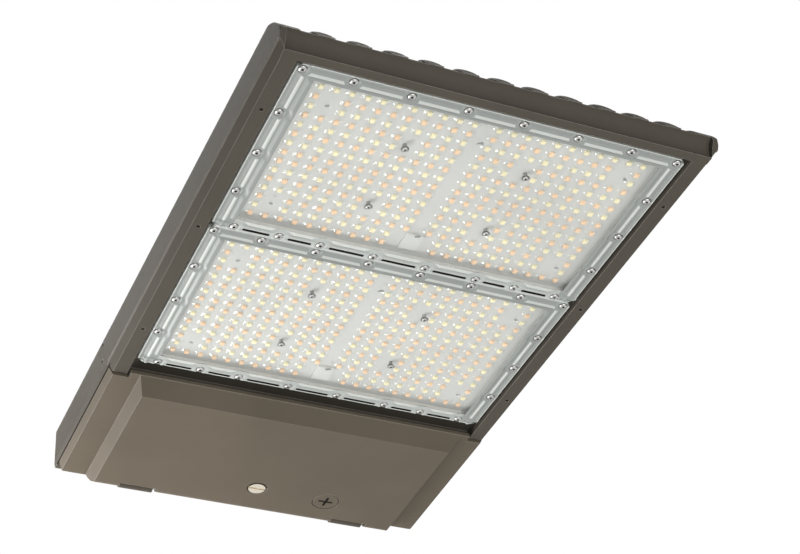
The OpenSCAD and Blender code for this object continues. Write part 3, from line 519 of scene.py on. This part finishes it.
def inside_field(x, y):
    """How far inside the raised field each point of a grid lies, in mm."""
    across = np.abs(x)
    inside = np.minimum(FIELD_X - across, np.minimum(y - FIELD_FRONT, FIELD_REAR - y))
    slant = (SLANT_X - across) * SLANT_ACROSS - (y - SLANT_Y) * SLANT_ALONG + SLANT_ROOM
    inside = np.minimum(inside, slant)
    for sx, sy, radius in SCALLOPS:
        inside = np.minimum(inside, np.hypot(across - sx, y - sy) - radius)
    return inside


def with_ridges(height, x, y):
    """The same relief with the ridges and grooves of the flange."""
    across = np.abs(x)
    away = np.min([np.hypot(across - sx, y - sy) for sx, sy in right_screws], axis=0)
    clear = rise(away - STOP_R, STOP_SLOPE)
    for gap in (np.abs(y - RIDGE_Y), np.abs(across - RIDGE_X), np.abs(y - REAR_RIDGE_Y)):
        height = np.maximum(height, RIDGE_H * bell(gap, RIDGE_W) * clear)
    for gap in (np.abs(across - GROOVE_X), np.abs(y - SLOT_Y), np.abs(y - GROOVE_Y)):
        height = height - GROOVE_D * bell(gap, GROOVE_W) * clear
    return height


def with_seats(height, x, y):
    """The same relief with the seats and rims of the screws, and the dents."""
    across = np.abs(x)
    for sx, sy in right_screws:
        near = np.hypot(across - sx, y - sy)
        rim = SEAT_RIM_H * rise(SEAT_RIM_R - near, SEAT_RIM_SLOPE)
        seat = (SEAT_RIM_H + SEAT) * rise(SEAT_R - near, SEAT_SLOPE)
        height = np.where(near < SEAT_ROOM, rim - seat, height)
    for sx, sy in INNER:
        near = np.hypot(across - sx, y - sy)
        rim = PLATEAU + INNER_RIM_H * rise(INNER_RIM_R - near, INNER_RIM_SLOPE)
        height = np.where(near < INNER_ROOM, rim, height)
        height = np.where(near < INNER_SEAT_R, PLATEAU - INNER_SEAT, height)
    for px, py in both_sides(LOCATORS) + list(LANE_MARKS):
        near = np.hypot(x - px, y - py)
        height = height - DENT_D * rise(DENT_R - near, DENT_SLOPE)
    return height


def lens_relief(x, y):
    """Height of the lens face over its flange, in mm, on a grid."""
    inside = inside_field(x, y)
    height = PLATEAU * rise(inside, FIELD_SLOPE)
    height = np.where(inside < 0, with_ridges(height, x, y), height)
    return with_seats(height, x, y)


def on_painted_highlight(x, y):
    """Is this place of a flange on a ridge between two screws, or on its outer edge, where a lighter look
    paints a highlight?
    """
    across = abs(x)
    front_edge, rear_edge = BRIGHT_EDGE_Y - INSET, LENS_L - INSET - BRIGHT_EDGE_Y
    if across > LENS_W / 2 - BRIGHT_EDGE_X or y < front_edge or y > rear_edge:
        return True
    if min(math.hypot(across - sx, y - sy) for sx, sy in right_screws) < BRIGHT_STOP_R:
        return False
    front = abs(y - RIDGE_Y) < BRIGHT_FRONT_HALF and across < RIDGE_X
    side = abs(across - RIDGE_X) < BRIGHT_SIDE_HALF and BRIGHT_SIDE_FROM < y < BRIGHT_SIDE_TO
    return front or side


def in_slot(across, y):
    """Is this place in the slot of the rear flange, between two screws, which is painted near black as its
    shade?
    """
    between = all(abs(across - v) > SLOT_STOP for v in REAR_X + (EDGE_X,))
    return abs(y - SLOT_Y) < SLOT_HALF and between and across < EDGE_X


def finish_at(x, y):
    """The number of the look that the lens face has here."""
    across = abs(x)
    # the rear slot is painted near black as its shade
    if in_slot(across, y):
        return DARK
    if any(math.hypot(across - px, y - py) < MARK_R for px, py in LOCATORS + LANE_MARKS):
        return FROSTED
    frosted = PALE if y > CLEAR_Y and across < CLEAR_X else FROSTED
    if across > FIELD_X - FLANGE_LAP or y < FIELD_FRONT + FLANGE_LAP or y > FIELD_REAR - FLANGE_LAP:
        # ridges and outer edges take the milky look as a painted highlight
        return MILKY if on_painted_highlight(x, y) else frosted
    in_scallop = any(math.hypot(across - sx, y - sy) < radius + FLANGE_LAP for sx, sy, radius in SCALLOPS)
    if across > CLEAR_X or in_scallop:
        return frosted
    return MILKY if y > CLEAR_Y else CLEAR


def grid_lines(low, high, step):
    """Evenly spaced values from low to high, about a step apart."""
    return np.linspace(low, high, int(round((high - low) / step)) + 1)


def lens_face(step):
    """The points of a lens face on a grid, as x, y and height in mm, with its corners cut at 45 degrees."""
    middle_y = LENS_L / 2 - INSET
    x, y = np.meshgrid(grid_lines(-LENS_W / 2, LENS_W / 2, step), grid_lines(-INSET, LENS_L - INSET, step))
    height = lens_relief(x, y)
    over_x = np.abs(x) - LENS_W / 2
    over_y = np.abs(y - middle_y) - LENS_L / 2
    past = np.maximum(over_x + over_y + CORNER_CUT, 0) / 2
    return x - np.sign(x) * past, y - np.sign(y - middle_y) * past, height


def filled_mesh(name, verts, faces, open_loops):
    """A mesh in which the flat gap between two open loops is filled."""
    mesh = bmesh.new()
    made = [mesh.verts.new(v) for v in verts]
    for face in faces:
        mesh.faces.new([made[i] for i in face])
    ring = []
    for loop in open_loops:
        ring += [mesh.edges.get((made[a], made[b])) for a, b in zip(loop, loop[1:] + loop[:1])]
    bmesh.ops.triangle_fill(mesh, use_beauty=True, edges=ring)
    bmesh.ops.remove_doubles(mesh, verts=mesh.verts[:], dist=WELD * MM)
    bmesh.ops.recalc_face_normals(mesh, faces=mesh.faces[:])
    data = bpy.data.meshes.new(name)
    mesh.to_mesh(data)
    mesh.free()
    return data


def finish_lens(data, row_y, edges):
    """Give each face of a lens its look: white for the upright walls of the hollow, which paints light onto
    walls that lie in shade, the rest by its place.
    """
    for look in LENS_LOOKS:
        data.materials.append(mats[look])
    left, right, near, far = edges
    for face in data.polygons:
        x, y = face.center.x / MM, face.center.y / MM - row_y
        upright = abs(face.normal.z) < WALL_TILT
        by_board = left - WALL_LAP < x < right + WALL_LAP and near - WALL_LAP < y < far + WALL_LAP
        # upright walls by the board are painted white as light against their shade
        face.material_index = WHITE if upright and by_board else finish_at(x, y)
    data.polygons.foreach_set("use_smooth", [True] * len(data.polygons))
    data.set_sharp_from_angle(angle=LENS_SMOOTH_ANGLE)


def lens_piece(which):
    """The clear plate of a module, with its raised field and a hollow back as large as its board."""
    row_y, face_z = lens_frame(which)
    back_z = face_z + FLANGE_T
    x, y, height = lens_face(FINE_STEP)
    points = np.stack([x, y, face_z - height], -1).reshape(-1, 3).tolist()
    faces, rim = grid_faces(*x.shape)
    back = list(range(len(points), len(points) + len(rim)))
    points += [(points[i][0], points[i][1], back_z) for i in rim]
    edges = board_edges(which)
    mouth = list(range(len(points), len(points) + 4))
    floor = [i + 4 for i in mouth]
    for z in (back_z, face_z + HOLLOW_FLOOR):
        points += [(corner_x, corner_y, z) for corner_x, corner_y in corners(edges)]
    faces += walls(rim, back) + walls(mouth, floor) + [floor]
    verts = [(px * MM, (py + row_y) * MM, pz * MM) for px, py, pz in points]
    data = filled_mesh("clear_lens_" + which, verts, faces, (back, mouth))
    finish_lens(data, row_y, edges)
    obj = new_object(data.name, data)
    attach(obj, "fixture")
    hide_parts("lens_" + which)


def skirt_piece(which):
    """The pale wall close round a board, from the back of its lens to the top of the board."""
    _, board_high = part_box("led_board_" + which)
    _, face_z = lens_frame(which)
    top, bottom = board_high[2] / MM, face_z + FLANGE_T - SKIRT_SUNK
    inner, outer = SKIRT_PLAY, SKIRT_PLAY + SKIRT_T
    edges = board_edges(which)
    verts = []
    for out, z in ((inner, top), (inner, bottom), (outer, bottom), (outer, top)):
        verts += places_on(which, corners(edges, out), z)
    loops = [list(range(4 * i, 4 * i + 4)) for i in range(4)]
    faces = []
    for first, second in zip(loops, loops[1:] + loops[:1]):
        faces += walls(first, second)
    new_piece("lens_skirt_" + which, (verts, faces), "fixture", "clear_plastic", look="white_plastic")


# ---- light sources and optics --------------------------------------------

def blocked(x, y):
    """Is this place of the grid left free for a screw, a locator or the connector?"""
    across = abs(x)
    near = any(abs(across - px) < FREE_X and abs(y - py) < FREE_Y for px, py in INNER + LOCATORS)
    return near or (across < CONNECTOR_ROOM_X and y > CONNECTOR_Y - CONNECTOR_ROOM_Y)


def sources(warm=None):
    """Places of the light sources in a module, all or those of one colour."""
    places = []
    for side in (-1, 1):
        for col in range(LED_COLS):
            for row in range(LED_ROWS):
                x = side * (LED_LANE + col * LED_DX)
                y = LED_FIRST + row * LED_DY
                is_warm = row % 2 == (1 if row < LED_SWAP_ROW else 0)
                if not blocked(x, y) and (warm is None or warm == is_warm):
                    places.append((x, y))
    return places


def source_part():
    """One light source: a square block with a rounded face towards -Z, and its back at z 0."""
    mesh = bmesh.new()
    bmesh.ops.create_cube(mesh, size=1.0)
    bmesh.ops.scale(mesh, vec=(SOURCE_W, SOURCE_W, SOURCE_H), verts=mesh.verts[:])
    bmesh.ops.translate(mesh, vec=(0, 0, -SOURCE_H / 2), verts=mesh.verts[:])
    face_edges = [e for e in mesh.edges if all(v.co.z < -SOURCE_H / 2 for v in e.verts)]
    bmesh.ops.bevel(mesh, geom=face_edges, offset=SOURCE_ROUND, segments=SOURCE_ROUND_STEPS,
                    affect="EDGES", profile=SOURCE_FULLNESS)
    mesh.verts.ensure_lookup_table()
    verts = [tuple(v.co * MM) for v in mesh.verts]
    faces = [[v.index for v in f.verts] for f in mesh.faces]
    mesh.free()
    return verts, faces


def source_pieces(which):
    """The warm and the cool sources of a module, in the place of their CAD blocks."""
    for tone, warm in (("warm", True), ("cool", False)):
        node = f"leds_{tone}_{which}"
        _, box_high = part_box(node)
        part = repeated(source_part(), places_on(which, sources(warm), box_high[2] / MM))
        new_piece(f"phosphor_{tone}_{which}", part, "fixture", tone + "_source", (node,))


def dome_part():
    """The clear optic over one light source: a shallow cap on the board, its crown towards -Z."""
    cap_r = (DOME_R ** 2 + DOME_H ** 2) / (2 * DOME_H)
    edge = math.asin(DOME_R / cap_r)
    profile = [(0, DOME_BASE), (DOME_R, DOME_BASE), (DOME_R, 0)]
    for i in range(DOME_RINGS - 1, 0, -1):
        tilt = edge * i / DOME_RINGS
        profile.append((cap_r * math.sin(tilt), -(cap_r * math.cos(tilt) - cap_r + DOME_H)))
    return lathe(profile + [(0, -DOME_H)], DOME_STEPS)


def dome_piece(which):
    """All the optics of a module, which stand on its board."""
    board_low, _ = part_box("led_board_" + which)
    part = repeated(dome_part(), places_on(which, sources(), board_low[2] / MM))
    new_piece("optics_" + which, part, "fixture", "clear_plastic", look="clear_dome")


# ---- lens screws ---------------------------------------------------------

def screw_part(head_r, head_h, shank_r, shank_l, drive_r):
    """A pan head screw with its seat at z 0, its head below and its shank above."""
    top = -head_h
    floor = top + head_h * DRIVE_DEPTH
    crown_r = drive_r + DRIVE_BEVEL
    profile = [(0, floor), (drive_r * DRIVE_FLOOR, floor), (drive_r, top + DRIVE_LIP)]
    for i in range(HEAD_RINGS + 1):
        t = i / HEAD_RINGS * math.pi / 2
        radius = crown_r + (head_r - crown_r) * math.sin(t)
        profile.append((radius, top + head_h * CROWN_H * (1 - math.cos(t))))
    profile += [(head_r * HEAD_FOOT, 0), (shank_r, 0), (shank_r, shank_l), (0, shank_l)]
    return lathe(profile, SCREW_STEPS, lobed=DRIVE_POINTS)


def washer_part():
    """A washer with its back at z 0."""
    side_r = WASHER_R - WASHER_BEVEL_R
    profile = [(0, 0), (side_r, 0), (WASHER_R, -WASHER_BEVEL_H), (side_r, -WASHER_T),
               (WASHER_FLAT_R, -WASHER_T), (0, -WASHER_T)]
    return lathe(profile, SCREW_STEPS)


def lens_screw_pieces(which):
    """The screws of a lens plate in their seats, the hollows of their drives painted near black as shade,
    and a dark washer round each small head.
    """
    _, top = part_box("lens_screws_" + which)
    _, face_z = lens_frame(which)
    outer_z = face_z + SEAT
    inner_z = face_z - PLATEAU + INNER_SEAT
    outer_screw = screw_part(shank_l=top[2] / MM - outer_z, **OUTER_SCREW)
    inner_screw = screw_part(shank_l=top[2] / MM - inner_z - INNER_SHORTER, **INNER_SCREW)
    outer_places = places_on(which, both_sides(right_screws), outer_z)
    inner_places = places_on(which, both_sides(INNER), inner_z)
    screws = joined([repeated(outer_screw, outer_places), repeated(inner_screw, inner_places)])
    # the faces of each drive hole are painted near black as its shade
    new_piece("pan_screws_" + which, screws, "fixture", "steel", ("lens_screws_" + which,),
              dark=(len(outer_screw[1]), 2 * SCREW_STEPS))
    new_piece("washers_" + which, repeated(washer_part(), inner_places), "fixture", "silicone")


# ---- rib noses -----------------------------------------------------------
# Measures are in mm, and angles in degrees round the axis of the curved front.

RIB_COUNT, RIB_PITCH, RIB_W = 13, 27.8, 16.0
NOSE_R = 52.6
NOSE_AXIS = (-532.1, 26.0 - NOSE_R)
NOSE_FACE = -578.4
BULGE_FROM, BULGE_TO, BULGE_H, BULGE_POWER = 40.0, 82.0, 2.3, 0.8
BULGE_PLAY, BULGE_SUNK = 0.1, 0.6
BULGE_TAPER, TAPER_POWER = 0.12, 3
BULGE_ROWS, BULGE_COLS = 23, 13


def nose_layer(height, sunk):
    """A grid of points over the curved front of a rib: a bulge of that height, sunk by that much."""
    verts = []
    for i in range(BULGE_ROWS):
        share = i / (BULGE_ROWS - 1)
        angle = math.radians(BULGE_FROM + (BULGE_TO - BULGE_FROM) * share)
        half_w = (RIB_W / 2 - BULGE_PLAY) * (1 - BULGE_TAPER * abs(2 * share - 1) ** TAPER_POWER)
        along = math.sin(math.pi * share) ** BULGE_POWER
        for j in range(BULGE_COLS):
            across = 2 * j / (BULGE_COLS - 1) - 1
            reach = NOSE_R + height * math.sqrt(max(0.0, 1 - across ** 2)) * along - sunk
            y = max(NOSE_AXIS[0] - reach * math.cos(angle), NOSE_FACE)
            z = NOSE_AXIS[1] + reach * math.sin(angle)
            verts.append((across * half_w * MM, y * MM, z * MM))
    return verts


def rib_noses():
    """The bulge at the front end of each inner rib, over the curve of the nose."""
    verts = nose_layer(BULGE_H, 0.0) + nose_layer(0.0, BULGE_SUNK)
    layer = BULGE_ROWS * BULGE_COLS
    grid, rim = grid_faces(BULGE_ROWS, BULGE_COLS)
    faces = [(a, d, c, b) for a, b, c, d in grid]
    faces += [[layer + i for i in face] for face in grid]
    faces += walls([layer + i for i in rim], rim)
    places = [((i - (RIB_COUNT - 1) / 2) * RIB_PITCH * MM, 0, 0) for i in range(1, RIB_COUNT - 1)]
    new_piece("rib_noses", repeated((verts, faces), places), "fixture", "bronze_paint")


# ---- door ----------------------------------------------------------------
# Measures are in mm.

HALF_W, CHAMFER_W, CHAMFER_H = 174.8, 5.3, 8.0
RIM_Z = -16.5
SEAM_H, SEAM_LINE, SEAM_FRONT = 5.0, 0.9, 2.0
SEAM_BELOW, SEAM_PROUD, SEAM_SUNK = 0.3, 0.05, 0.4
REAR_ROUND = 11.0
PLUG_R, PLUG_FACE, PLUG_T, PLUG_STEPS = 11.8, 0.15, 1.7, 48
PLUG_BEVEL_R, PLUG_BEVEL_H = 0.5, 0.4
SHANK_R = 10.2
CROSS_REACH, CROSS_HALF = 6.8, 1.15
CROSS_PROUD, CROSS_SUNK = 0.06, 0.3


def seam_outline(side, y):
    """The outline of the painted seam shadow across the chamfer of one side, at that y."""
    slope = math.hypot(CHAMFER_W, CHAMFER_H)
    right, up = CHAMFER_W / slope, CHAMFER_H / slope
    seam_x = HALF_W - CHAMFER_W * (CHAMFER_H - SEAM_H) / CHAMFER_H
    low, high = -SEAM_BELOW, SEAM_LINE - SEAM_BELOW
    outline = []
    for along, out in ((low, SEAM_PROUD), (high, SEAM_PROUD), (high, -SEAM_SUNK), (low, -SEAM_SUNK)):
        x = seam_x + along * right + out * up
        z = RIM_Z + SEAM_H + along * up - out * right
        outline.append((side * x * MM, y * MM, z * MM))
    return outline


def painted_seam_shadow():
    """A near-black strip along the seam over each side of the door: painted shadow of the gap between door
    and housing.
    """
    low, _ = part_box("door")
    front, rear = low[1] / MM + SEAM_FRONT, -REAR_ROUND
    strips = [prism(seam_outline(side, front), seam_outline(side, rear)) for side in (-1, 1)]
    # painted shadow of the gap at the seam
    new_piece("painted_seam_shadow", joined(strips), "fixture", "silicone", look="painted_shade")


def plug_disc(place, shank_end):
    """The blanking plug of the port, with play round it."""
    profile = [(0, PLUG_FACE), (PLUG_R - PLUG_BEVEL_R, PLUG_FACE), (PLUG_R, PLUG_FACE + PLUG_BEVEL_H),
               (PLUG_R, PLUG_T), (SHANK_R, PLUG_T), (SHANK_R, shank_end), (0, shank_end)]
    part = repeated(lathe(profile, PLUG_STEPS), [place])
    # the plug takes the door's lighter bronze, painted sheen
    new_piece("plug_disc", part, "door", "bronze_paint", ("port_plug",), look="door_sheen_paint")


def plug_cross(place):
    """The cross in the plug's face, for a driver: a thin near-black block that stands for the shade in its
    recess.
    """
    arm = [(CROSS_REACH, CROSS_HALF), (CROSS_HALF, CROSS_HALF), (CROSS_HALF, CROSS_REACH)]
    outline = []
    for _ in range(4):
        outline += arm
        arm = [(-v, u) for u, v in arm]
    part = prism(at_height(outline, PLUG_FACE + CROSS_SUNK), at_height(outline, PLUG_FACE - CROSS_PROUD))
    # painted shade of the driver's cross
    new_piece("plug_cross", repeated(part, [place]), "door", "bronze_paint", look="painted_shade")


def plug_pieces():
    """The plug and its cross, in the middle of the CAD plug's outer face."""
    low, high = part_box("port_plug")
    place = ((low[0] + high[0]) / 2, (low[1] + high[1]) / 2, low[2])
    plug_disc(place, (high[2] - low[2]) / MM)
    plug_cross(place)


# ---- all pieces ----------------------------------------------------------

painted_seam_shadow()
plug_pieces()
rib_noses()
for which in ("front", "rear"):
    lens_piece(which)
    skirt_piece(which)
    source_pieces(which)
    dome_piece(which)
    lens_screw_pieces(which)


# ---- stage, light and camera ---------------------------------------------

FLOOR_REACH, FLOOR_Z = 8.0, -2.4
FLOOR_COLOR, FLOOR_ROUGHNESS = (0.86, 0.86, 0.85), 0.8
WORLD_LIGHT, WORLD_SEEN = 0.28, 1.0
BODY_MIDDLE = (0, -0.3, 0)
REAR_END = (0, -0.05, 0)
CAMERA_PLACE = (-0.5325, -1.4632, -0.9630)
CAMERA_HEADING, CAMERA_PITCH, CAMERA_ROLL = 26.133, 37.726, -4.454
CAMERA_LENS, CAMERA_SENSOR = 88.02, 36.0


def add_floor():
    """A pale floor well below, which mirrors see as white."""
    mesh = bpy.data.meshes.new("floor")
    reach, z = FLOOR_REACH, FLOOR_Z
    square = [(-reach, -reach, z), (reach, -reach, z), (reach, reach, z), (-reach, reach, z)]
    mesh.from_pydata(square, [], [(0, 1, 2, 3)])
    floor = new_object("floor", mesh)
    mat, shader = principled("floor", FLOOR_COLOR, FLOOR_ROUGHNESS)
    tree = mat.node_tree
    glow = tree.nodes.new("ShaderNodeEmission")
    path = tree.nodes.new("ShaderNodeLightPath")
    mix_shaders(tree, path.outputs["Is Glossy Ray"], shader.outputs["BSDF"], glow.outputs["Emission"],
                tree.nodes["Material Output"].inputs["Surface"])
    mesh.materials.append(mat)


def white_background(tree, strength):
    """White light of that strength from all round."""
    node = tree.nodes.new("ShaderNodeBackground")
    node.inputs["Color"].default_value = (1, 1, 1, 1)
    node.inputs["Strength"].default_value = strength
    return node.outputs["Background"]


def larger(tree, first, second):
    """The larger of two values."""
    node = tree.nodes.new("ShaderNodeMath")
    node.operation = "MAXIMUM"
    tree.links.new(first, node.inputs[0])
    tree.links.new(second, node.inputs[1])
    return node.outputs["Value"]


def add_world():
    """Even light all round, and plain white where the camera, a clear piece or a mirror sees it."""
    world = bpy.data.worlds.new("studio")
    bpy.context.scene.world = world
    world.use_nodes = True
    tree = world.node_tree
    tree.nodes.clear()
    out = tree.nodes.new("ShaderNodeOutputWorld")
    path = tree.nodes.new("ShaderNodeLightPath")
    through = larger(tree, path.outputs["Is Camera Ray"], path.outputs["Is Transmission Ray"])
    seen = larger(tree, through, path.outputs["Is Glossy Ray"])
    mix_shaders(tree, seen, white_background(tree, WORLD_LIGHT), white_background(tree, WORLD_SEEN),
                out.inputs["Surface"])


def add_area(name, place, target, size, power):
    """A square lamp, turned towards its target."""
    data = bpy.data.lights.new(name, "AREA")
    data.size = size
    data.energy = power
    lamp = new_object(name, data)
    lamp.location = place
    lamp.rotation_euler = (Vector(target) - Vector(place)).to_track_quat("-Z", "Y").to_euler()


def add_camera():
    """The camera stands in front, to the left and below, and looks up along +Y."""
    data = bpy.data.cameras.new("camera")
    data.lens = CAMERA_LENS
    data.sensor_width = CAMERA_SENSOR
    camera = new_object("camera", data)
    aim = Euler((math.radians(90 + CAMERA_PITCH), 0, math.radians(-CAMERA_HEADING)), "XYZ").to_matrix()
    roll = Matrix.Rotation(math.radians(CAMERA_ROLL), 3, "Z")
    camera.matrix_world = Matrix.Translation(CAMERA_PLACE) @ (aim @ roll).to_4x4()
    bpy.context.scene.camera = camera


add_floor()
add_world()
add_area("left_rear", place=(-0.50, 0.40, -0.25), target=REAR_END, size=0.45, power=8.2)
add_area("below_left", place=(-0.72, 0.47, -1.18), target=BODY_MIDDLE, size=0.45, power=10.5)
add_area("below_right", place=(1.2, 0.15, -0.96), target=BODY_MIDDLE, size=0.5, power=2)
add_area("front_fill", place=(0.1, -1.8, -0.9), target=BODY_MIDDLE, size=1.2, power=20)
add_area("top", place=(0.1, 0.9, 1.6), target=BODY_MIDDLE, size=1.4, power=30)
add_camera()
bpy.context.scene.view_settings.view_transform = "Standard"
